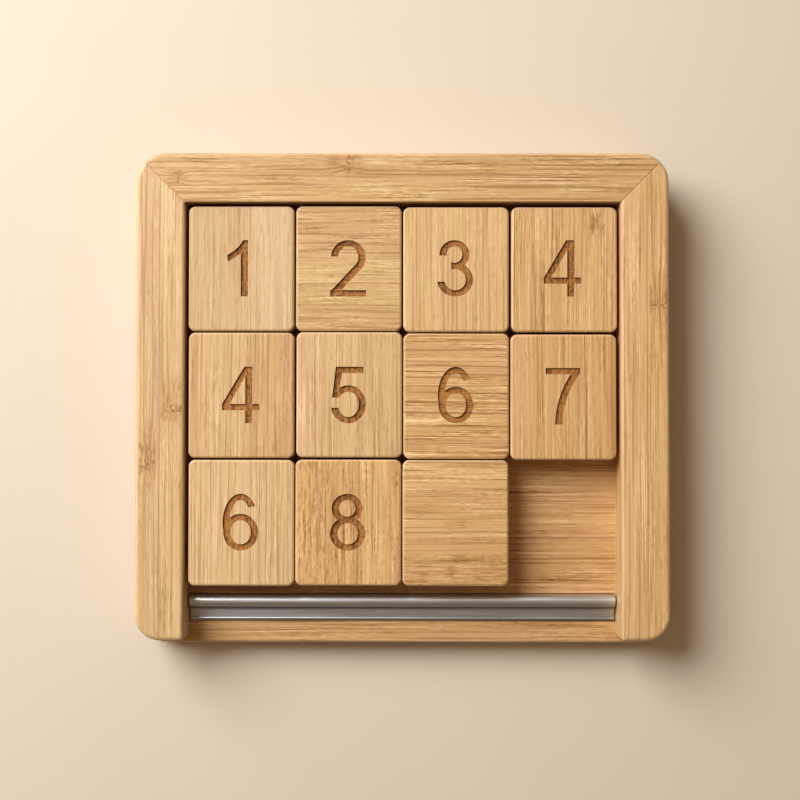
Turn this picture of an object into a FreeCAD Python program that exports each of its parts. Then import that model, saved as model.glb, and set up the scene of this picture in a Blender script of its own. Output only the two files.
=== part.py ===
"""Sliding tile puzzle: eleven numbered bamboo tiles loose in an open bamboo tray.

Frame: millimetres, +X to the right of someone reading the digits, +Y away from them, +Z up.
The origin is on the table, under the middle of the tray.
"""
import FreeCAD
import Part
import math
import os

Vector = FreeCAD.Vector

# Tile grid
COLUMNS = 4
ROWS = 3
TILE_WIDTH = 29.6
TILE_DEPTH = 35.1
TILE_HEIGHT = 10.0
TILE_GAP = 0.4
TILE_CORNER = 1.9
TILE_TOP_ROUND = 0.7
TILE_BOTTOM_CHAMFER = 0.4

# Slack between the block of tiles and the tray
SLACK_LEFT = 1.1
SLACK_RIGHT = 1.0
SLACK_BACK = 0.95
SLACK_FRONT = 3.35

# Tray
FOOT_HEIGHT = 2.0
BASE_THICKNESS = 6.0
RAIL_WIDTH = 13.6
BACK_RAIL_WIDTH = 13.9
RAIL_HEIGHT = 11.5
FRONT_STRIP = 4.4          # from the stop rail to the front ends of the side rails
BASE_LIP = 2.0             # the base board stands this far proud of the rail ends
BACK_CORNER = 8.0
FRONT_CORNER = 7.0
RAIL_OUTER_ROUND = 1.3
RAIL_INNER_ROUND = 0.3
RAIL_END_ROUND = 0.9        # inner upright edge at the front end of each side rail
BASE_TOP_ROUND = 0.7
BASE_BOTTOM_CHAMFER = 0.8
MITRE_GROOVE = 0.18        # half width and depth of the fine V along each mitre

# Metal stop rail: a bead behind a thin flange, let into a groove in the base board
STOP_WIDTH = 7.4
STOP_BEAD = 3.6
STOP_BEAD_HEIGHT = 3.3     # top of the bead above the tray floor
STOP_FLANGE_HEIGHT = 0.6   # top of the flange above the tray floor
STOP_LIP = 0.5
STOP_END_GAP = 0.5
GROOVE_DEPTH = 1.0
GROOVE_CLEARANCE = 0.2

# Digits, engraved in the tile tops
DIGIT_HALF = 7.9
DIGIT_DEPTH = 0.55
STROKE_X = 2.0             # width of an upright stroke
STROKE_Y = 1.75            # width of a level stroke
DIGIT_PLACE = (-0.25, 0.1)  # from the middle of the tile's cell
OTHER_DIGIT_PLACES = {"1": (-1.25, 0.1), "7": (-0.2, -0.2)}

# Hidden hardware
KEY_LENGTH = 12.0
KEY_WIDTH = 3.0
KEY_HEIGHT = 6.0
KEY_CLEARANCE = 0.05
SCREW_CLEARANCE = 0.05
HEAD_ANGLE_DEPTH = 0.55    # depth of a countersunk head, as a part of its radius
RAIL_SCREW = {"shank": 3.0, "head": 5.6, "length": 13.0, "slot": 2.8}
STOP_SCREW = {"shank": 2.0, "head": 3.8, "length": 7.6, "slot": 1.9}
SCREW_SINK = 0.3
FOOT_RADIUS = 5.0
FOOT_EDGE = 0.7
FOOT_INSET = 12.0

# Derived sizes
PITCH_X = TILE_WIDTH + TILE_GAP
PITCH_Y = TILE_DEPTH + TILE_GAP
CAVITY_WIDTH = SLACK_LEFT + COLUMNS * PITCH_X - TILE_GAP + SLACK_RIGHT
TRAY_WIDTH = CAVITY_WIDTH + 2 * RAIL_WIDTH
TILES_DEPTH = ROWS * PITCH_Y - TILE_GAP
CAVITY_DEPTH = SLACK_BACK + TILES_DEPTH + SLACK_FRONT + STOP_WIDTH + FRONT_STRIP
TRAY_DEPTH = BACK_RAIL_WIDTH + CAVITY_DEPTH + BASE_LIP
BACK = TRAY_DEPTH / 2
FRONT = -TRAY_DEPTH / 2
RAIL_FRONT = FRONT + BASE_LIP
SIDE = TRAY_WIDTH / 2
INNER_SIDE = CAVITY_WIDTH / 2
INNER_BACK = BACK - BACK_RAIL_WIDTH
FLOOR = FOOT_HEIGHT + BASE_THICKNESS
RAIL_TOP = FLOOR + RAIL_HEIGHT
STOP_BACK = INNER_BACK - SLACK_BACK - TILES_DEPTH - SLACK_FRONT
STOP_FRONT = STOP_BACK - STOP_WIDTH
FAR = 3 * TRAY_WIDTH
EPS = 1e-4

# Tile name, column, row counted from the back, the digit cut in its top, and how far the tile
# has settled to the right and to the back within its slack
TILES = [
    ("tile_1", 0, 0, "1", -0.2, 0.0),
    ("tile_2", 1, 0, "2", -0.1, 0.05),
    ("tile_3", 2, 0, "3", -0.05, -0.2),
    ("tile_4_first_row", 3, 0, "4", 0.2, -0.2),
    ("tile_4_second_row", 0, 1, "4", -0.1, 0.0),
    ("tile_5", 1, 1, "5", 0.1, 0.15),
    ("tile_6_second_row", 2, 1, "6", 0.0, -0.2),
    ("tile_7", 3, 1, "7", -0.05, -0.45),
    ("tile_6_third_row", 0, 2, "6", 0.0, -0.1),
    ("tile_8", 1, 2, "8", -0.1, 0.0),
    ("tile_blank", 2, 2, None, -0.2, -0.1),
]


# ---------------------------------------------------------------- small helpers

def block(x0, y0, z0, x1, y1, z1):
    """A box between two opposite corners."""
    return Part.makeBox(x1 - x0, y1 - y0, z1 - z0, Vector(x0, y0, z0))


def prism(points, z0, height):
    """An upright prism on an outline of straight sides."""
    corners = [Vector(x, y, z0) for x, y in points]
    outline = Part.makePolygon(corners + corners[:1])
    return Part.Face(outline).extrude(Vector(0, 0, height))


def round_edges(shape, radius, wanted):
    """Round the edges for which wanted(edge) is true."""
    edges = [edge for edge in shape.Edges if wanted(edge)]
    return shape.makeFillet(radius, edges)


def bevel_edges(shape, size, wanted):
    """Chamfer the edges for which wanted(edge) is true."""
    edges = [edge for edge in shape.Edges if wanted(edge)]
    return shape.makeChamfer(size, edges)


def is_upright(edge):
    box = edge.BoundBox
    return box.XLength < EPS and box.YLength < EPS


def is_level_at(edge, z):
    box = edge.BoundBox
    return abs(box.ZMin - z) < EPS and abs(box.ZMax - z) < EPS


def single_solid(shape):
    """The one solid that a boolean left, with its split faces joined again."""
    clean = shape.removeSplitter()
    if len(clean.Solids) != 1:
        raise ValueError("expected one solid, found %d" % len(clean.Solids))
    return clean.Solids[0]


# ---------------------------------------------------------------- digits

def oval(cx, cy, rx, ry, height):
    """An elliptical disc with half axes rx and ry."""
    centre = Vector(cx, cy, 0)
    along_x = Vector(cx + rx, cy, 0)
    along_y = Vector(cx, cy + ry, 0)
    if abs(rx - ry) < EPS:
        curve = Part.Circle(centre, Vector(0, 0, 1), rx)
    elif rx > ry:
        curve = Part.Ellipse(along_x, along_y, centre)
    else:
        curve = Part.Ellipse(along_y, along_x, centre)
    return Part.Face(Part.Wire([curve.toShape()])).extrude(Vector(0, 0, height))


def ring(cx, cy, rx, ry):
    """A round stroke: outer half axes rx and ry, thinner at its top and bottom."""
    outer = oval(cx, cy, rx, ry, DIGIT_DEPTH)
    inner = oval(cx, cy, rx - STROKE_X, ry - STROKE_Y, DIGIT_DEPTH)
    return outer.cut(inner)


def area(*points):
    return prism(points, 0, DIGIT_DEPTH)


def bar(x0, y0, x1, y1):
    return area((x0, y0), (x1, y0), (x1, y1), (x0, y1))


def slanted_bar(x0, y0, x1, y1, width):
    """A straight stroke of even width along the line between two points."""
    length = math.hypot(x1 - x0, y1 - y0)
    nx = (y1 - y0) / length * width / 2
    ny = -(x1 - x0) / length * width / 2
    return area((x0 - nx, y0 - ny), (x1 - nx, y1 - ny), (x1 + nx, y1 + ny), (x0 + nx, y0 + ny))


def digit_1():
    stem_left, stem_right = 0.9, 2.9
    return [area((stem_right, -DIGIT_HALF), (stem_right, DIGIT_HALF), (1.6, DIGIT_HALF),
                 (0.4, 6.2), (-1.1, 4.8), (-2.9, 3.65), (-2.7, 1.9), (-0.8, 2.9),
                 (stem_left, 4.3), (stem_left, -DIGIT_HALF))]


def digit_2():
    radius = 4.85
    cy = DIGIT_HALF - radius
    turn = math.radians(43)             # where the bowl runs out into the diagonal
    foot_top = -DIGIT_HALF + STROKE_Y
    bowl = ring(0, cy, radius, radius)
    opening = area((-6, cy + 0.25), (0, cy + 0.25), (0, cy),
                   (9 * math.cos(turn), cy - 9 * math.sin(turn)), (0, -12), (-6, -12))
    middle = radius - STROKE_X / 2
    x, y = middle * math.cos(turn), cy - middle * math.sin(turn)
    run = (y + 9) / math.cos(turn)
    diagonal = slanted_bar(x, y, x - run * math.sin(turn), y - run * math.cos(turn), STROKE_X)
    left = -5
    diagonal = diagonal.common(bar(left, -DIGIT_HALF, radius, DIGIT_HALF))
    return [bowl.cut(opening), diagonal, bar(left, -DIGIT_HALF, -left, foot_top)]


def digit_3():
    gap_side = -1.15
    upper = ring(-0.25, 3.85, 4.2, 4.05).cut(bar(-6, -1, gap_side, 3.6))
    lower = ring(-0.05, -3.2, 5.0, 4.7).cut(bar(-6, -3.75, gap_side, 2))
    middle = bar(gap_side, -0.25, 0, 1.5)
    return [upper, lower, middle]


def digit_4():
    stem_left, stem_right = 1.3, 3.2
    bar_bottom, bar_top = -4.3, -2.55
    outline = area((-5.2, bar_bottom), (-5.2, bar_top), (1.0, DIGIT_HALF), (stem_right, DIGIT_HALF),
                   (stem_right, bar_top), (5.2, bar_top), (5.2, bar_bottom),
                   (stem_right, bar_bottom), (stem_right, -DIGIT_HALF),
                   (stem_left, -DIGIT_HALF), (stem_left, bar_bottom))
    counter = area((-3.1, bar_top), (stem_left, bar_top), (stem_left, 5.2))
    return [outline.cut(counter)]


def digit_5():
    slant_side, slant_foot = -2.4, -0.75
    bowl = ring(0.1, -2.6, 4.9, 5.3).cut(bar(-6, -3.6, slant_side, 4))
    slant = area((-3.4, DIGIT_HALF), (-1.4, DIGIT_HALF), (slant_side, 1.9),
                 (slant_side, slant_foot), (-4.45, slant_foot))
    top = bar(-3.4, DIGIT_HALF - STROKE_Y, 4.3, DIGIT_HALF)
    return [bowl, slant, top]


def digit_6():
    back = ring(0.1, 0, 5.0, DIGIT_HALF)
    opening = area((0.1, 3.6), (6, 4.8), (6, -9), (-6, -9), (-6, -2.8), (0.1, -2.8))
    bowl = ring(0.15, -2.8, 4.85, 5.1)
    return [back.cut(opening), bowl]


def digit_7():
    radius, cx, cy = 26.4, 24.2, -8.4
    sweep = ring(cx, cy, radius, radius).common(bar(-4.8, -DIGIT_HALF, 4.8, DIGIT_HALF))
    return [sweep, bar(-4.8, DIGIT_HALF - STROKE_Y, 4.8, DIGIT_HALF)]


def digit_8():
    return [ring(-0.15, 3.85, 4.3, 4.05), ring(0, -3.2, 4.9, 4.7)]


DIGITS = {"1": digit_1, "2": digit_2, "3": digit_3, "4": digit_4,
          "5": digit_5, "6": digit_6, "7": digit_7, "8": digit_8}


def engraving(digit):
    """The wood taken out of a tile for one digit, centred on the origin."""
    strokes = DIGITS[digit]()
    shape = strokes[0]
    if len(strokes) > 1:
        shape = shape.fuse(strokes[1:])
    return single_solid(shape.common(bar(-6, -DIGIT_HALF, 6, DIGIT_HALF)))


# ---------------------------------------------------------------- tiles

def cell_centre(column, row):
    x = -INNER_SIDE + SLACK_LEFT + TILE_WIDTH / 2 + column * PITCH_X
    y = INNER_BACK - SLACK_BACK - TILE_DEPTH / 2 - row * PITCH_Y
    return x, y


def plain_tile():
    """A tile centred on the origin, standing on z = 0."""
    x, y = TILE_WIDTH / 2, TILE_DEPTH / 2
    body = block(-x, -y, 0, x, y, TILE_HEIGHT)
    body = round_edges(body, TILE_CORNER, is_upright)
    body = round_edges(body, TILE_TOP_ROUND, lambda edge: is_level_at(edge, TILE_HEIGHT))
    return bevel_edges(body, TILE_BOTTOM_CHAMFER, lambda edge: is_level_at(edge, 0))


def make_tile(column, row, digit, settled_x, settled_y):
    x, y = cell_centre(column, row)
    tile = plain_tile()
    tile.translate(Vector(x + settled_x, y + settled_y, FLOOR))
    if digit:
        shift_x, shift_y = OTHER_DIGIT_PLACES.get(digit, DIGIT_PLACE)
        cut = engraving(digit)
        cut.translate(Vector(x + shift_x, y + shift_y, FLOOR + TILE_HEIGHT - DIGIT_DEPTH))
        tile = tile.cut(cut)
    return single_solid(tile)


# ---------------------------------------------------------------- screws

def rail_screw_places():
    """Middle of each screw that holds a side or back rail down."""
    x = SIDE - RAIL_WIDTH / 2
    y = BACK - BACK_RAIL_WIDTH / 2
    sides = [(side * x, along) for side in (-1, 1) for along in (-44, -4, 36)]
    return sides + [(-34, y), (34, y)]


def stop_screw_places():
    y = STOP_BACK - STOP_BEAD / 2
    return [(x, y) for x in (-45, 0, 45)]


def screw_body(x, y, sizes, clearance):
    """A countersunk screw standing head down in the underside of the base board."""
    bottom = FOOT_HEIGHT + SCREW_SINK
    head_radius = sizes["head"] / 2 + clearance
    shank_radius = sizes["shank"] / 2 + clearance
    head_height = sizes["head"] / 2 * HEAD_ANGLE_DEPTH
    place = Vector(x, y, bottom)
    head = Part.makeCone(head_radius, shank_radius, head_height, place)
    shank = Part.makeCylinder(shank_radius, sizes["length"] + clearance, place)
    return head.fuse(shank)


def screw(x, y, sizes):
    """A screw with a cross recess in its head and a pointed tip."""
    body = screw_body(x, y, sizes, 0)
    bottom = FOOT_HEIGHT + SCREW_SINK
    radius = sizes["shank"] / 2
    body = bevel_edges(body, radius * 0.6, lambda edge: is_level_at(edge, bottom + sizes["length"]))
    half = sizes["slot"] / 2
    arm = sizes["slot"] / 8
    deep = bottom + 0.7
    for long_x, long_y in ((half, arm), (arm, half)):
        body = body.cut(block(x - long_x, y - long_y, bottom, x + long_x, y + long_y, deep))
    return single_solid(body)


def screw_hole(x, y, sizes):
    """The space a screw takes, open to the underside of the base board."""
    mouth = Part.makeCylinder(sizes["head"] / 2 + SCREW_CLEARANCE, SCREW_SINK, Vector(x, y, FOOT_HEIGHT))
    return screw_body(x, y, sizes, SCREW_CLEARANCE).fuse(mouth)


def drill(shape, places, sizes):
    for x, y in places:
        shape = shape.cut(screw_hole(x, y, sizes))
    return shape


def make_screws(places, sizes):
    return Part.makeCompound([screw(x, y, sizes) for x, y in places])


# ---------------------------------------------------------------- tray

def make_base_board():
    board = block(-SIDE, FRONT, FOOT_HEIGHT, SIDE, BACK, FLOOR)
    board = round_edges(board, BACK_CORNER, lambda e: is_upright(e) and e.BoundBox.YMin > 0)
    board = round_edges(board, FRONT_CORNER, lambda e: is_upright(e) and e.BoundBox.YMin < 0)
    board = bevel_edges(board, BASE_BOTTOM_CHAMFER, lambda e: is_level_at(e, FOOT_HEIGHT))
    board = round_edges(board, BASE_TOP_ROUND, lambda e: is_level_at(e, FLOOR))

    groove_end = INNER_SIDE - GROOVE_CLEARANCE
    board = board.cut(block(-groove_end, STOP_FRONT - GROOVE_CLEARANCE, FLOOR - GROOVE_DEPTH,
                            groove_end, STOP_BACK + GROOVE_CLEARANCE, FAR))
    board = drill(board, rail_screw_places(), RAIL_SCREW)
    board = drill(board, stop_screw_places(), STOP_SCREW)
    return single_solid(board)


def rail_frame():
    """Left, back and right rails as one U, open at the front, before the mitres are cut."""
    frame = block(-SIDE, RAIL_FRONT, FLOOR, SIDE, BACK, RAIL_TOP)
    frame = round_edges(frame, BACK_CORNER, lambda e: is_upright(e) and e.BoundBox.YMin > 0)
    frame = round_edges(frame, FRONT_CORNER, lambda e: is_upright(e) and e.BoundBox.YMin < 0)
    frame = round_edges(frame, RAIL_OUTER_ROUND, lambda e: is_level_at(e, RAIL_TOP))
    frame = frame.cut(block(-INNER_SIDE, RAIL_FRONT - 1, 0, INNER_SIDE, INNER_BACK, FAR))
    inside = INNER_SIDE + EPS
    frame = round_edges(frame, RAIL_END_ROUND,
                        lambda e: is_upright(e) and abs(e.CenterOfMass.x) < inside
                        and e.CenterOfMass.y < RAIL_FRONT + EPS)
    return round_edges(frame, RAIL_INNER_ROUND,
                       lambda e: is_level_at(e, RAIL_TOP) and abs(e.CenterOfMass.x) < inside
                       and e.BoundBox.YMax < INNER_BACK + EPS)


def mitre_wedge(side):
    """Everything behind the mitre lines on one side: the part that belongs to the back rail."""
    corner = (side * INNER_SIDE, INNER_BACK)
    return prism([corner, (side * (INNER_SIDE + FAR), INNER_BACK + FAR), (0, INNER_BACK + FAR),
                  (0, INNER_BACK)], 0, FAR)


def mitre_line(side):
    """The fine V-shaped line along the top of one mitre."""
    half = MITRE_GROOVE
    section = Part.makePolygon([Vector(-half, 0, RAIL_TOP), Vector(0, 0, RAIL_TOP - half * 1.6),
                                Vector(half, 0, RAIL_TOP), Vector(-half, 0, RAIL_TOP)])
    line = Part.Face(section).extrude(Vector(0, 2 * RAIL_WIDTH, 0))
    line.rotate(Vector(0, 0, 0), Vector(0, 0, 1), -45 * side)
    line.translate(Vector(side * INNER_SIDE, INNER_BACK, 0))
    return line


def mitre_key(side, clearance):
    """The loose tongue that crosses one mitre inside the wood."""
    half = KEY_LENGTH / 2 + clearance
    thick = KEY_WIDTH / 2 + clearance
    bottom = FLOOR + (RAIL_HEIGHT - KEY_HEIGHT) / 2
    key = block(-half, -thick, bottom - clearance, half, thick, bottom + KEY_HEIGHT + clearance)
    key.rotate(Vector(0, 0, 0), Vector(0, 0, 1), -45 * side)
    middle = RAIL_WIDTH / 2 - 0.8
    key.translate(Vector(side * (INNER_SIDE + middle), INNER_BACK + middle, 0))
    return key


def make_rails():
    frame = rail_frame()
    for side in (-1, 1):
        frame = frame.cut(mitre_line(side)).cut(mitre_key(side, KEY_CLEARANCE))
    frame = drill(frame, rail_screw_places(), RAIL_SCREW)
    back_zone = mitre_wedge(-1).fuse(mitre_wedge(1))
    left_half = block(-FAR, -FAR, 0, 0, FAR, FAR)
    sides = frame.cut(back_zone)
    return {
        "left_rail": single_solid(sides.common(left_half)),
        "right_rail": single_solid(sides.cut(left_half)),
        "back_rail": single_solid(frame.common(back_zone)),
    }


def stop_profile():
    """Section of the stop rail, back to front: a round bead, a cove, then a flange with a lip."""
    bottom = FLOOR - GROOVE_DEPTH
    radius = STOP_BEAD / 2
    bead_y = STOP_BACK - radius
    bead_z = FLOOR + STOP_BEAD_HEIGHT - radius
    flange = FLOOR + STOP_FLANGE_HEIGHT
    bead_front = STOP_BACK - STOP_BEAD
    cove = bead_z - flange
    cove_middle = cove * (1 - math.sqrt(0.5))
    lip_back = STOP_FRONT + 2 * STOP_LIP

    def at(y, z):
        return Vector(0, y, z)

    def line(y0, z0, y1, z1):
        return Part.LineSegment(at(y0, z0), at(y1, z1)).toShape()

    edges = [
        line(STOP_FRONT, bottom, STOP_BACK, bottom),
        line(STOP_BACK, bottom, STOP_BACK, bead_z),
        Part.Arc(at(STOP_BACK, bead_z), at(bead_y, bead_z + radius), at(bead_front, bead_z)).toShape(),
        Part.Arc(at(bead_front, bead_z), at(bead_front - cove_middle, flange + cove_middle),
                 at(bead_front - cove, flange)).toShape(),
        line(bead_front - cove, flange, lip_back, flange),
        Part.Arc(at(lip_back, flange), at(lip_back - STOP_LIP, flange + STOP_LIP / 2),
                 at(STOP_FRONT, flange)).toShape(),
        line(STOP_FRONT, flange, STOP_FRONT, bottom),
    ]
    return Part.Face(Part.Wire(edges))


def make_stop_rail():
    half = INNER_SIDE - STOP_END_GAP
    rail = stop_profile().extrude(Vector(2 * half, 0, 0))
    rail.translate(Vector(-half, 0, 0))
    return single_solid(drill(rail, stop_screw_places(), STOP_SCREW))


def make_foot(x, y):
    foot = Part.makeCylinder(FOOT_RADIUS, FOOT_HEIGHT, Vector(x, y, 0))
    return round_edges(foot, FOOT_EDGE, lambda edge: is_level_at(edge, 0))


def foot_places():
    x = SIDE - FOOT_INSET
    y = BACK - FOOT_INSET
    return {
        "foot_front_left": (-x, -y),
        "foot_front_right": (x, -y),
        "foot_back_left": (-x, y),
        "foot_back_right": (x, y),
    }


# ---------------------------------------------------------------- assembly

def all_nodes():
    nodes = {"base_board": make_base_board()}
    nodes.update(make_rails())
    nodes["mitre_key_left"] = mitre_key(-1, 0)
    nodes["mitre_key_right"] = mitre_key(1, 0)
    nodes["stop_rail"] = make_stop_rail()
    nodes["rail_screws"] = make_screws(rail_screw_places(), RAIL_SCREW)
    nodes["stop_rail_screws"] = make_screws(stop_screw_places(), STOP_SCREW)
    for name, (x, y) in foot_places().items():
        nodes[name] = make_foot(x, y)
    for name, *details in TILES:
        nodes[name] = make_tile(*details)
    return nodes


def main():
    os.makedirs("parts", exist_ok=True)
    for name, shape in all_nodes().items():
        if not shape.isValid():
            raise ValueError(name + " is not a valid solid")
        shape.exportStep("parts/" + name + ".step")
        box = shape.BoundBox
        print("%-20s %8.0f mm3  %7.2f %7.2f %7.2f  to %7.2f %7.2f %7.2f"
              % (name, shape.Volume, box.XMin, box.YMin, box.ZMin, box.XMax, box.YMax, box.ZMax))


main()
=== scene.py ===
"""Looks of the sliding tile puzzle: bamboo, burnt digits, brushed metal, studio light and camera."""

import math

import bpy
from mathutils import Euler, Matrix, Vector


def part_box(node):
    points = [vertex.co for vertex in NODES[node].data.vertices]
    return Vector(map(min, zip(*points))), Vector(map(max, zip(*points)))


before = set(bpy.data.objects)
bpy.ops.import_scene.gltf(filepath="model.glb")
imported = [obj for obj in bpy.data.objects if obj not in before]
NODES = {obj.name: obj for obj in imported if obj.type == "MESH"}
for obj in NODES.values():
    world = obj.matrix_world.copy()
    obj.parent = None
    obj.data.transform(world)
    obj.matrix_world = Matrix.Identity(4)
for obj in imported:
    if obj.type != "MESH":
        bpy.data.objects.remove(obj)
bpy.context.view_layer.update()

MM = 0.001


# ---------------------------------------------------------------- node graphs

class Graph:
    """A material's node tree, with short calls for the nodes used here."""

    def __init__(self, name):
        self.material = bpy.data.materials.new(name)
        self.material.use_nodes = True
        self.tree = self.material.node_tree
        self.tree.nodes.clear()

    def node(self, kind, **settings):
        made = self.tree.nodes.new("ShaderNode" + kind)
        for key, value in settings.items():
            setattr(made, key, value)
        return made

    def feed(self, socket, value):
        """Links a socket to another socket, or sets it to a plain value."""
        if isinstance(value, bpy.types.NodeSocket):
            self.tree.links.new(value, socket)
        else:
            socket.default_value = value

    def math(self, operation, *values):
        made = self.node("Math", operation=operation)
        for socket, value in zip(made.inputs, values):
            self.feed(socket, value)
        return made.outputs[0]

    def add(self, a, b):
        return self.math("ADD", a, b)

    def times(self, a, b):
        return self.math("MULTIPLY", a, b)

    def ramp(self, value, low, high, to_low=0.0, to_high=1.0):
        """Maps value smoothly from low..high to to_low..to_high, clamped."""
        made = self.node("MapRange", interpolation_type="SMOOTHSTEP")
        for socket, item in zip(made.inputs, (value, low, high, to_low, to_high)):
            self.feed(socket, item)
        return made.outputs[0]

    def noise(self, vector, detail, roughness=0.5):
        """Smooth noise around 0.5, with features about one unit of vector wide."""
        made = self.node("TexNoise")
        self.feed(made.inputs["Vector"], vector)
        made.inputs["Scale"].default_value = 1.0
        made.inputs["Detail"].default_value = detail
        made.inputs["Roughness"].default_value = roughness
        return made.outputs["Fac"]

    def random(self, value):
        """An even random number, one for each whole value."""
        made = self.node("TexWhiteNoise", noise_dimensions="1D")
        self.feed(made.inputs["W"], value)
        return made.outputs["Value"]

    def mix(self, factor, a, b, blend="MIX"):
        made = self.node("Mix", data_type="RGBA", blend_type=blend)
        self.feed(made.inputs[0], factor)
        for socket, value in ((made.inputs[6], a), (made.inputs[7], b)):
            self.feed(socket, value if isinstance(value, bpy.types.NodeSocket) else (*value, 1))
        return made.outputs[2]

    def split(self, vector):
        made = self.node("SeparateXYZ")
        self.feed(made.inputs[0], vector)
        return made.outputs

    def combine(self, x, y, z):
        made = self.node("CombineXYZ")
        for socket, item in zip(made.inputs, (x, y, z)):
            self.feed(socket, item)
        return made.outputs[0]

    def place(self):
        """Place in the row frame at rest, in millimetres; it travels with a moving body."""
        made = self.node("VectorMath", operation="SCALE")
        self.feed(made.inputs[0], self.node("TexCoord").outputs["Object"])
        made.inputs["Scale"].default_value = 1 / MM
        return self.split(made.outputs[0])

    def normal(self):
        """The x, y and z of the surface normal, in the row frame at rest."""
        return self.split(self.node("TexCoord").outputs["Normal"])

    def finish(self, colour, roughness, height, **shader_values):
        """Ends the tree in a principled shader. height is a relief in millimetres."""
        shader = self.node("BsdfPrincipled")
        self.feed(shader.inputs["Base Color"], colour)
        self.feed(shader.inputs["Roughness"], roughness)
        for key, value in shader_values.items():
            shader.inputs[key.replace("_", " ")].default_value = value
        relief = self.node("Bump")
        relief.inputs["Strength"].default_value = 1.0
        relief.inputs["Distance"].default_value = MM
        self.feed(relief.inputs["Height"], height)
        self.feed(shader.inputs["Normal"], relief.outputs[0])
        output = self.node("OutputMaterial")
        self.feed(output.inputs[0], shader.outputs[0])
        return self.material


# ---------------------------------------------------------------- bamboo

BAMBOO_CUT = {
    "grain": "Y",            # the axis that the fibres follow
    "seed": 0.0,             # moves every texture, so that no two pieces look alike
    "colour": (0.70, 0.43, 0.19),
    "strip": 7.0,            # width of a lamination strip, millimetres
    "strip_start": 0.0,      # where a strip begins, across the grain
    "strip_tone": 0.10,      # how much the strips differ in brightness
    "glue": 0.25,            # darkness of the glue lines between strips
    "streak_length": 30.0,   # usual length of a fibre streak, millimetres
    "streaks": 1.0,          # strength of the fine light and dark streaks
    "lines": 0.40,           # strength of the long thin dark lines
    "flecks": 0.22,          # strength of the short dark pores
    "waviness": 0.5,         # how far the fibres wander, millimetres
    "wavy_side": None,       # (from, to) across the grain, where straight fibres turn wavy
    # (across, along, half width, half length) of each bamboo node. A negative half length turns
    # the node end for end.
    "knuckles": (),
    "digit": None,           # (x, y, z of the tile top) where a digit is burnt in
}
# Fibre streaks from broad to fine: width in millimetres, length as a part of the streak length,
# and strength
FIBRES = (
    (4.00, 4.00, 0.14),
    (1.50, 2.00, 0.18),
    (0.75, 1.50, 0.36),
    (0.36, 1.00, 1.15),
    (0.36, 0.10, 0.60),
)
FINE_FIBRE = 1.0           # narrower streaks than this come and go in patches, millimetres
FIBRE_RELIEF = 0.025       # height of a streak one millimetre wide, millimetres
DARK_RELIEF = -0.045       # height of a fully dark mark, millimetres
STRIP_SHIFT = 170.0        # furthest that a strip's pattern is shifted along the grain, millimetres
WAVE_SIZE = 0.6            # full swing of the fibres in a wavy zone, millimetres
KNUCKLE_PUSH = 0.9         # furthest that a bamboo node pushes fibres aside, millimetres
DASH_PUSH = 0.6            # and the dark dashes on it
KNUCKLE_MARKS = 0.72       # strength of the dark marks on a bamboo node
WAVY_MARKS = 0.42          # strength of the chunky dark marks in a wavy zone

# Red follows a streak's brightness less than green does, and blue follows it more, so dark streaks
# are richer in colour and pale ones creamier.
RED_POWER = 0.7
BLUE_POWER = 1.5
DRIFT_TINTS = ((0.99, 1.01, 0.96), (1.01, 0.99, 1.04))      # slow drift in hue along the fibres
DARK_FIBRE = (0.30, 0.125, 0.030)
KNUCKLE_TINT = (0.62, 0.34, 0.12)
KNUCKLE_TINT_AMOUNT = 0.40
# Pale colour for rounded edges: partly rubbed wear, partly a painted highlight.
EDGE_WEAR_AND_HIGHLIGHT = (0.92, 0.72, 0.48)
EDGE_WEAR_AND_HIGHLIGHT_AMOUNT = 0.35
BURNT_DARK = (0.190, 0.070, 0.009)
BURNT_LIGHT = (0.480, 0.205, 0.045)
BURNT_WALL = (0.180, 0.058, 0.006)

# Every digit lies within these distances of the middle and the top of its tile, millimetres.
DIGIT_HALF_WIDTH = 7.0
DIGIT_HALF_HEIGHT = 9.0
DIGIT_DEPTH_LIMIT = 1.2


def lookup(g, across, along, depth, width, length, seed):
    """A texture vector for features of that width across the grain and length along it."""
    return g.combine(g.add(g.times(across, 1 / width), seed * 3.1),
                     g.add(g.times(along, 1 / length), seed * 1.7),
                     g.add(g.times(depth, 1 / width), seed * 0.7))


def knuckle_marks(g, across, along, depth, spot, seed):
    """One bamboo node: how far it pushes the fibres sideways, its dark marks, and its reach."""
    spot_across, spot_along, half_width, half_length = spot
    # w and u run from -1 to 1, across the bamboo node and along it.
    w = g.times(g.math("SUBTRACT", across, spot_across), 1 / half_width)
    u = g.times(g.math("SUBTRACT", along, spot_along), 1 / half_length)
    inside_w = g.ramp(g.math("ABSOLUTE", w), 0.75, 1.0, 1.0, 0.0)
    inside_u = g.ramp(g.math("ABSOLUTE", u), 0.0, 1.0, 1.0, 0.0)
    push = g.times(g.times(inside_w, inside_u), g.math("SINE", g.times(w, 2.6)))
    near = g.times(g.math("POWER", inside_u, 0.45), inside_w)
    column = g.ramp(g.math("ABSOLUTE", g.add(u, -0.20)), 0.06, 0.24, 1.0, 0.0)
    specks = g.ramp(g.noise(lookup(g, across, along, depth, 0.70, 0.70, seed), 1.0, 0.6), 0.46, 0.56)
    pushed = g.add(across, g.times(push, DASH_PUSH))
    dashes = g.noise(lookup(g, pushed, along, depth, 0.70, 3.6, seed + 5), 1.0)
    dashes = g.times(g.ramp(g.add(dashes, g.times(near, 0.06)), 0.53, 0.65), 0.75)
    marks = g.math("MAXIMUM", g.times(g.times(column, specks), inside_w), g.times(dashes, near))
    return push, marks, near


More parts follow.
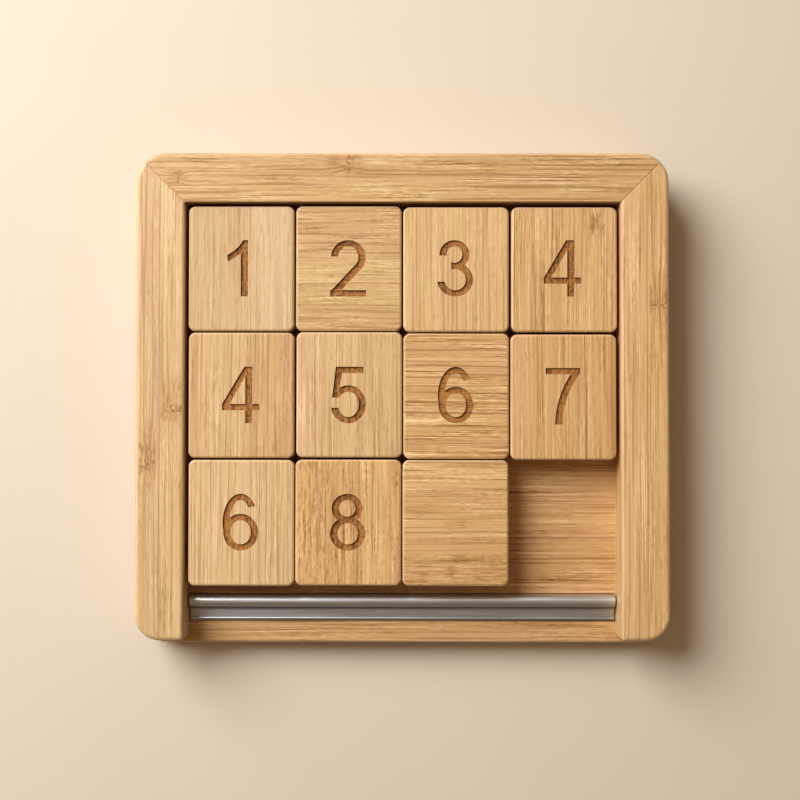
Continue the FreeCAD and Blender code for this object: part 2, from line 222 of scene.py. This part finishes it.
def fibre_paths(g, cut, across, along, z):
    """Where the fibres run across the grain, the wavy zone, and the nodes' marks and reach."""
    seed = cut["seed"]
    wander = g.noise(lookup(g, across, along, z, 30.0, 45.0, seed), 2.0)
    bent = g.add(across, g.times(g.add(wander, -0.5), 2 * cut["waviness"]))
    wavy, marks, reach = 0.0, 0.0, 0.0
    if cut["wavy_side"]:
        wavy = g.ramp(across, *cut["wavy_side"])
        ripple = g.noise(lookup(g, across, along, z, 2.6, 5.0, seed + 1), 1.0)
        bent = g.add(bent, g.times(g.times(g.add(ripple, -0.5), wavy), WAVE_SIZE))
    for number, spot in enumerate(cut["knuckles"]):
        push, found, near = knuckle_marks(g, across, along, z, spot, seed + number)
        bent = g.add(bent, g.times(push, KNUCKLE_PUSH))
        marks = g.math("MAXIMUM", marks, found)
        reach = g.math("MAXIMUM", reach, near)
    return bent, wavy, marks, reach


def strip_pattern(g, cut, across):
    """A random number for each lamination strip, and the glue lines between strips."""
    strips = g.times(g.add(across, -cut["strip_start"]), 1 / cut["strip"])
    number = g.math("FLOOR", g.add(strips, math.floor(cut["seed"] * 10)))
    from_edge = g.math("ABSOLUTE", g.add(g.math("FRACT", g.add(strips, 0.5)), -0.5))
    glue = g.ramp(g.times(from_edge, cut["strip"]), 0.05, 0.30, 1.0, 0.0)
    return g.random(number), glue


def fibre_tone(g, cut, fibres, strip_random):
    """Brightness as a factor on the piece's own colour, and the relief of the fibres."""
    seed, length = cut["seed"], cut["streak_length"]
    tone = g.add(1.0, g.times(g.add(strip_random, -0.5), 2 * cut["strip_tone"]))
    relief = 0.0
    busy = g.noise(lookup(g, *fibres, 3.0, 0.8 * length, seed + 13), 1.0)
    busy = g.ramp(busy, 0.35, 0.65, 0.45, 1.55)
    for number, (width, long, strength) in enumerate(FIBRES):
        streak = g.noise(lookup(g, *fibres, width, long * length, seed + number), 1.0)
        streak = g.add(streak, -0.5)
        if width < FINE_FIBRE:
            streak = g.times(streak, busy)
        tone = g.add(tone, g.times(streak, strength * cut["streaks"]))
        relief = g.add(relief, g.times(streak, FIBRE_RELIEF * math.sqrt(width)))
    return tone, relief


def dark_marks(g, cut, fibres, glue, wavy, marks):
    """Long dark lines, short pores, glue lines, node marks and the chunky marks of a wavy zone."""
    seed, length = cut["seed"], cut["streak_length"]
    lines = g.noise(lookup(g, *fibres, 0.65, 1.8 * length, seed + 4), 0.0)
    pores = g.noise(lookup(g, *fibres, 0.80, 4.0, seed + 6), 1.0)
    spread = g.noise(lookup(g, *fibres, 4.0, 0.7 * length, seed + 8), 1.0)
    pores = g.times(g.ramp(pores, 0.56, 0.70), g.ramp(spread, 0.42, 0.60, 0.25, 1.0))
    layers = [g.times(g.ramp(lines, 0.60, 0.72), cut["lines"]), g.times(pores, cut["flecks"]),
              g.times(glue, cut["glue"]), g.times(marks, KNUCKLE_MARKS)]
    if cut["wavy_side"]:
        chunks = g.noise(lookup(g, *fibres, 0.75, 3.8, seed + 14), 1.0)
        layers.append(g.times(g.times(g.ramp(chunks, 0.50, 0.64), wavy), WAVY_MARKS))
    dark = layers[0]
    for layer in layers[1:]:
        dark = g.math("MAXIMUM", dark, layer)
    return dark


def oiled_ends_and_edge_highlight(g, cut, colour, across, z):
    """Cut fibre ends drink more oil and show darker; rounded edges are paler, partly from rubbing and
    partly as a painted highlight.
    """
    normal_x, normal_y, normal_z = g.normal()
    end_normal = normal_y if cut["grain"] == "Y" else normal_x
    end_grain = g.ramp(g.math("ABSOLUTE", end_normal), 0.35, 0.95)
    end_dots = g.noise(lookup(g, across, z, z, 0.22, 0.22, cut["seed"] + 9), 2.0)
    oiled = g.times(end_grain, g.ramp(end_dots, 0.40, 0.60, 0.10, 0.45))
    colour = g.mix(oiled, colour, DARK_FIBRE)
    # Painted highlight together with real wear: the tilted faces of rounded edges are paled.
    edge = g.times(g.ramp(normal_z, 0.20, 0.60), g.ramp(normal_z, 0.80, 0.985, 1.0, 0.0))
    return g.mix(g.times(edge, EDGE_WEAR_AND_HIGHLIGHT_AMOUNT), colour, EDGE_WEAR_AND_HIGHLIGHT)


def burnt_mask(g, x, y, z, digit):
    """1 on the floor and walls of an engraved digit, 0 on the rest of the tile."""
    digit_x, digit_y, top = digit
    from_x = g.math("ABSOLUTE", g.add(x, -digit_x))
    from_y = g.math("ABSOLUTE", g.add(y, -digit_y))
    near_x = g.ramp(from_x, DIGIT_HALF_WIDTH, DIGIT_HALF_WIDTH + 0.5, 1.0, 0.0)
    near_y = g.ramp(from_y, DIGIT_HALF_HEIGHT, DIGIT_HALF_HEIGHT + 0.5, 1.0, 0.0)
    below = g.ramp(z, top - 0.16, top - 0.03, 1.0, 0.0)
    above = g.ramp(z, top - DIGIT_DEPTH_LIMIT - 0.4, top - DIGIT_DEPTH_LIMIT, 0.0, 1.0)
    return g.times(g.times(near_x, near_y), g.times(below, above))


def bamboo(name, **changes):
    """Oiled laminated bamboo, cut as BAMBOO_CUT says, with changes."""
    cut = {**BAMBOO_CUT, **changes}
    g = Graph(name)
    seed = cut["seed"]
    x, y, z = g.place()
    across, along = (x, y) if cut["grain"] == "Y" else (y, x)

    bent, wavy, marks, reach = fibre_paths(g, cut, across, along, z)
    strip_random, glue = strip_pattern(g, cut, across)
    shifted = g.add(along, g.times(strip_random, STRIP_SHIFT))
    fibres = (bent, shifted, z)
    tone, relief = fibre_tone(g, cut, fibres, strip_random)
    dark = dark_marks(g, cut, fibres, glue, wavy, marks)

    grey = g.combine(g.math("POWER", tone, RED_POWER), tone, g.math("POWER", tone, BLUE_POWER))
    colour = g.mix(1.0, cut["colour"], grey, "MULTIPLY")
    drift = g.noise(lookup(g, *fibres, 4.0, 4.0 * cut["streak_length"], seed + 12), 1.0)
    colour = g.mix(1.0, colour, g.mix(g.ramp(drift, 0.35, 0.65), *DRIFT_TINTS), "MULTIPLY")
    colour = g.mix(g.times(reach, KNUCKLE_TINT_AMOUNT), colour, KNUCKLE_TINT)
    colour = g.mix(dark, colour, DARK_FIBRE)
    colour = oiled_ends_and_edge_highlight(g, cut, colour, across, z)
    roughness = g.ramp(tone, 0.85, 1.15, 0.52, 0.42)
    height = g.add(relief, g.times(dark, DARK_RELIEF))

    if cut["digit"]:
        burnt = burnt_mask(g, x, y, z, cut["digit"])
        crumbs = g.noise(lookup(g, across, along, z, 0.60, 0.90, seed + 11), 2.0, 0.7)
        scorch = g.add(g.times(crumbs, 0.8), g.times(g.ramp(tone, 0.8, 1.2), 0.2))
        soot = g.mix(g.ramp(scorch, 0.36, 0.60), BURNT_DARK, BURNT_LIGHT)
        soot = g.mix(g.ramp(g.normal()[2], 0.4, 0.9, 1.0, 0.0), soot, BURNT_WALL)
        colour = g.mix(burnt, colour, soot)
        roughness = g.ramp(burnt, 0.0, 1.0, roughness, 0.75)
        height = g.add(height, g.times(g.times(crumbs, burnt), 0.12))

    return g.finish(colour, roughness, height, Specular_IOR_Level=0.45)


# ---------------------------------------------------------------- metal, rubber

METAL_SCRATCHES = 0.02     # depth of the fine drawn lines, millimetres


def brushed_metal(name, colour, roughness, painted_shade_below=None):
    """Drawn metal with fine lines along X.

    Given a height in z (millimetres), painted shade darkens it below that height, and on sides
    that face the front; above that height it keeps its full colour.
    """
    g = Graph(name)
    x, y, z = g.place()
    fine = g.noise(g.combine(g.times(x, 0.04), g.times(y, 9.0), g.times(z, 9.0)), 3.0, 0.7)
    patches = g.noise(g.combine(g.times(x, 0.05), g.times(y, 0.4), g.times(z, 0.4)), 3.0)
    tint = g.mix(g.ramp(fine, 0.35, 0.65), tuple(0.80 * c for c in colour), colour)
    tint = g.mix(g.ramp(patches, 0.45, 0.75, 0.0, 0.30), tint, tuple(0.72 * c for c in colour))
    rough = g.add(g.ramp(fine, 0.3, 0.7, roughness - 0.05, roughness + 0.08),
                  g.ramp(patches, 0.4, 0.7, 0.0, 0.06))
    if painted_shade_below:
        # Painted shade: the metal's colour is darker low down and on its front-facing sides.
        high = g.ramp(z, painted_shade_below, painted_shade_below + 1.2, 0.74, 1.0)
        front_shade = g.ramp(g.normal()[1], -0.85, -0.30, 0.60, 1.0)
        painted_shade = g.times(high, front_shade)
        tint = g.mix(1.0, tint, g.combine(painted_shade, painted_shade, painted_shade), "MULTIPLY")
    return g.finish(tint, rough, g.times(fine, METAL_SCRATCHES), Metallic=1.0)


def rubber(name):
    """Black moulded rubber with a fine matt texture."""
    g = Graph(name)
    x, y, z = g.place()
    grain = g.noise(g.combine(g.times(x, 4.0), g.times(y, 4.0), g.times(z, 4.0)), 3.0)
    dust = g.noise(g.combine(g.times(x, 0.5), g.times(y, 0.5), g.times(z, 0.5)), 2.0)
    colour = g.mix(g.ramp(dust, 0.4, 0.7, 0.0, 0.5), (0.016, 0.015, 0.014), (0.050, 0.046, 0.042))
    return g.finish(colour, g.ramp(grain, 0.3, 0.7, 0.70, 0.88), g.times(grain, 0.03))


# ---------------------------------------------------------------- finishes of each node

STRIP_OFFSET = 2.7         # from a tile's middle to the nearest glue line, millimetres
# How each tile differs from BAMBOO_CUT. Places in these are from the middle of the tile.
TILE_LOOKS = {
    "tile_1": dict(seed=1.3, colour=(0.724, 0.507, 0.271), strip=17.6, lines=0.20, streaks=0.65),
    "tile_2": dict(seed=2.6, colour=(0.704, 0.457, 0.212), grain="X", streak_length=16.0, lines=0.45),
    "tile_3": dict(seed=3.2, colour=(0.752, 0.498, 0.233), strip=13.0, streaks=0.75),
    "tile_4_first_row": dict(seed=4.7, colour=(0.755, 0.487, 0.222), strip=11.0,
                             knuckles=((9.5, 13.0, 2.2, -4.5),)),
    "tile_4_second_row": dict(seed=5.1, colour=(0.703, 0.452, 0.222), strip=15.0, streaks=0.9),
    "tile_5": dict(seed=6.9, colour=(0.76, 0.514, 0.258), strip=12.0, streaks=0.85),
    "tile_6_second_row": dict(seed=7.4, colour=(0.694, 0.42, 0.174), grain="X", lines=0.60,
                              streaks=1.8),
    "tile_7": dict(seed=8.8, colour=(0.721, 0.439, 0.192), strip=10.0, streaks=0.95),
    "tile_6_third_row": dict(seed=9.5, colour=(0.752, 0.514, 0.26), strip=14.0, streaks=0.75),
    "tile_8": dict(seed=10.2, colour=(0.755, 0.469, 0.204), strip=9.0, streak_length=14.0,
                   streaks=1.2, wavy_side=(-2.0, -6.0)),
    "tile_blank": dict(seed=11.7, colour=(0.71, 0.439, 0.186), grain="X", streak_length=20.0,
                       streaks=1.1, lines=0.55, wavy_side=(-7.5, -10.0)),
}


def use(node, material):
    """Gives a CAD node its one material."""
    slots = NODES[node].data.materials
    slots.clear()
    slots.append(material)


def middle(node):
    """The middle of a CAD node's box at rest, in millimetres."""
    low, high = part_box(node)
    return (low + high) / 2 / MM


def finish_tiles():
    """Cuts the bamboo of each tile around the tile's own middle, with its digit burnt in."""
    for node, look in TILE_LOOKS.items():
        centre = middle(node)
        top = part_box(node)[1].z / MM
        along_y = look.get("grain", "Y") == "Y"
        across, along = (centre.x, centre.y) if along_y else (centre.y, centre.x)
        placed = dict(look, strip_start=across + STRIP_OFFSET)
        if node != "tile_blank":
            placed["digit"] = (centre.x, centre.y, top)
        if "wavy_side" in look:
            placed["wavy_side"] = [across + edge for edge in look["wavy_side"]]
        if "knuckles" in look:
            placed["knuckles"] = [(across + a, along + b, *size) for a, b, *size in look["knuckles"]]
        use(node, bamboo(node + "_wood", **placed))


def finish_tray():
    """Finishes of all but the tiles. Places along a rail are in the row frame, in millimetres."""
    left, right, back = (middle(name) for name in ("left_rail", "right_rail", "back_rail"))
    base = middle("base_board")
    use("left_rail", bamboo("left_rail_wood", seed=21.3, colour=(0.74, 0.498, 0.252), strip=7.2,
                            strip_start=left.x, glue=0.5, strip_tone=0.04, streaks=0.9,
                            knuckles=((left.x + 3.5, -1.0, 3.3, -9.0),
                                      (left.x - 3.3, -16.0, 2.8, -11.0))))
    use("right_rail", bamboo("right_rail_wood", seed=22.9, colour=(0.777, 0.501, 0.228), strip=7.2,
                             strip_start=right.x + 0.6, glue=0.4, streaks=0.95, strip_tone=0.02,
                             knuckles=((right.x + 3.8, 28.5, 2.9, -9.5),)))
    use("back_rail", bamboo("back_rail_wood", seed=23.8, colour=(0.69, 0.444, 0.202), grain="X",
                            strip=7.2, strip_start=back.y + 0.3, glue=0.4, streak_length=25.0,
                            streaks=1.3, lines=0.55,
                            knuckles=((back.y + 3.7, -16.2, 3.2, 7.0), (back.y, -63.5, 2.2, 4.0))))
    use("base_board", bamboo("base_board_wood", seed=24.6, colour=(0.62, 0.363, 0.156), grain="X",
                             strip=20.0, strip_start=base.y, streaks=1.25, lines=0.5))
    hardwood = bamboo("key_wood", seed=25.5, colour=(0.42, 0.25, 0.13), streak_length=10.0)
    for side in ("left", "right"):
        use("mitre_key_" + side, hardwood)
    bead_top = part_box("stop_rail")[1].z / MM
    use("stop_rail", brushed_metal("stop_rail_metal", (0.86, 0.91, 0.98), roughness=0.36,
                                   painted_shade_below=bead_top - 1.6))
    steel = brushed_metal("screw_metal", (0.62, 0.61, 0.58), roughness=0.35)
    for node in ("rail_screws", "stop_rail_screws"):
        use(node, steel)
    black = rubber("foot_rubber")
    for node in NODES:
        if node.startswith("foot_"):
            use(node, black)


# ---------------------------------------------------------------- studio

FLOOR_HALF = 3.0           # metres
FLOOR_COLOURS = ((0.775, 0.70, 0.575), (0.805, 0.73, 0.605))
WORLD_COLOUR = (1.0, 0.68, 0.42, 1)
WORLD_BRIGHT_SIDE = Vector((-0.35, 0.45, 0.82)).normalized()
WORLD_DIM_FROM = -0.6      # cosine of the angle from the bright side where it is dimmest
WORLD_DIMMEST = 0.07
WORLD_BRIGHTEST = 0.29


def add_floor():
    mesh = bpy.data.meshes.new("floor")
    corners = [(x * FLOOR_HALF, y * FLOOR_HALF, 0) for x, y in ((-1, -1), (1, -1), (1, 1), (-1, 1))]
    mesh.from_pydata(corners, [], [(0, 1, 2, 3)])
    floor = bpy.data.objects.new("floor", mesh)
    bpy.context.scene.collection.objects.link(floor)
    g = Graph("floor_paint")
    x, y = g.place()[:2]
    grain = g.noise(g.combine(g.times(x, 0.02), g.times(y, 0.02), 0.0), 2.0)
    mesh.materials.append(g.finish(g.mix(grain, *FLOOR_COLOURS), 0.6, 0.0, Specular_IOR_Level=0.2))


def add_world():
    """Soft warm surroundings, brighter overhead and behind, dimmer in front."""
    world = bpy.data.worlds.new("studio")
    bpy.context.scene.world = world
    world.use_nodes = True
    tree = world.node_tree
    tree.nodes.clear()
    direction = tree.nodes.new("ShaderNodeTexCoord")
    toward = tree.nodes.new("ShaderNodeVectorMath")
    toward.operation = "DOT_PRODUCT"
    toward.inputs[1].default_value = WORLD_BRIGHT_SIDE
    ramp = tree.nodes.new("ShaderNodeMapRange")
    ramp.inputs["From Min"].default_value = WORLD_DIM_FROM
    ramp.inputs["To Min"].default_value = WORLD_DIMMEST
    ramp.inputs["To Max"].default_value = WORLD_BRIGHTEST
    background = tree.nodes.new("ShaderNodeBackground")
    background.inputs["Color"].default_value = WORLD_COLOUR
    output = tree.nodes.new("ShaderNodeOutputWorld")
    tree.links.new(direction.outputs["Generated"], toward.inputs[0])
    tree.links.new(toward.outputs["Value"], ramp.inputs["Value"])
    tree.links.new(ramp.outputs["Result"], background.inputs["Strength"])
    tree.links.new(background.outputs[0], output.inputs[0])


KEY_DIRECTION = Vector((-0.855, 0.725, 1.0)).normalized()
KEY_DISTANCE = 0.90        # metres
KEY_SIZE = 0.70            # metres
KEY_POWER = 10.55          # watts
KEY_COLOUR = (1.0, 0.99, 0.97)


def add_key_light():
    lamp = bpy.data.lights.new("key", "AREA")
    lamp.shape = "DISK"
    lamp.size = KEY_SIZE
    lamp.energy = KEY_POWER
    lamp.color = KEY_COLOUR
    key = bpy.data.objects.new("key", lamp)
    key.location = KEY_DIRECTION * KEY_DISTANCE
    key.rotation_euler = (-KEY_DIRECTION).to_track_quat("-Z", "Y").to_euler()
    bpy.context.scene.collection.objects.link(key)


CAMERA_PLACE = Vector((0.83, -9.63, 399.0)) * MM
CAMERA_TURN = Euler((0.0249, 0.0039, 0.0010))
CAMERA_LENS = 61.4         # millimetres, as is the sensor
CAMERA_SENSOR = 36.0


def add_camera():
    data = bpy.data.cameras.new("camera")
    data.sensor_width = CAMERA_SENSOR
    data.lens = CAMERA_LENS
    camera = bpy.data.objects.new("camera", data)
    camera.location = CAMERA_PLACE
    camera.rotation_euler = CAMERA_TURN
    bpy.context.scene.collection.objects.link(camera)
    bpy.context.scene.camera = camera


finish_tiles()
finish_tray()
add_floor()
add_world()
add_key_light()
add_camera()
bpy.context.scene.view_settings.view_transform = "Standard"
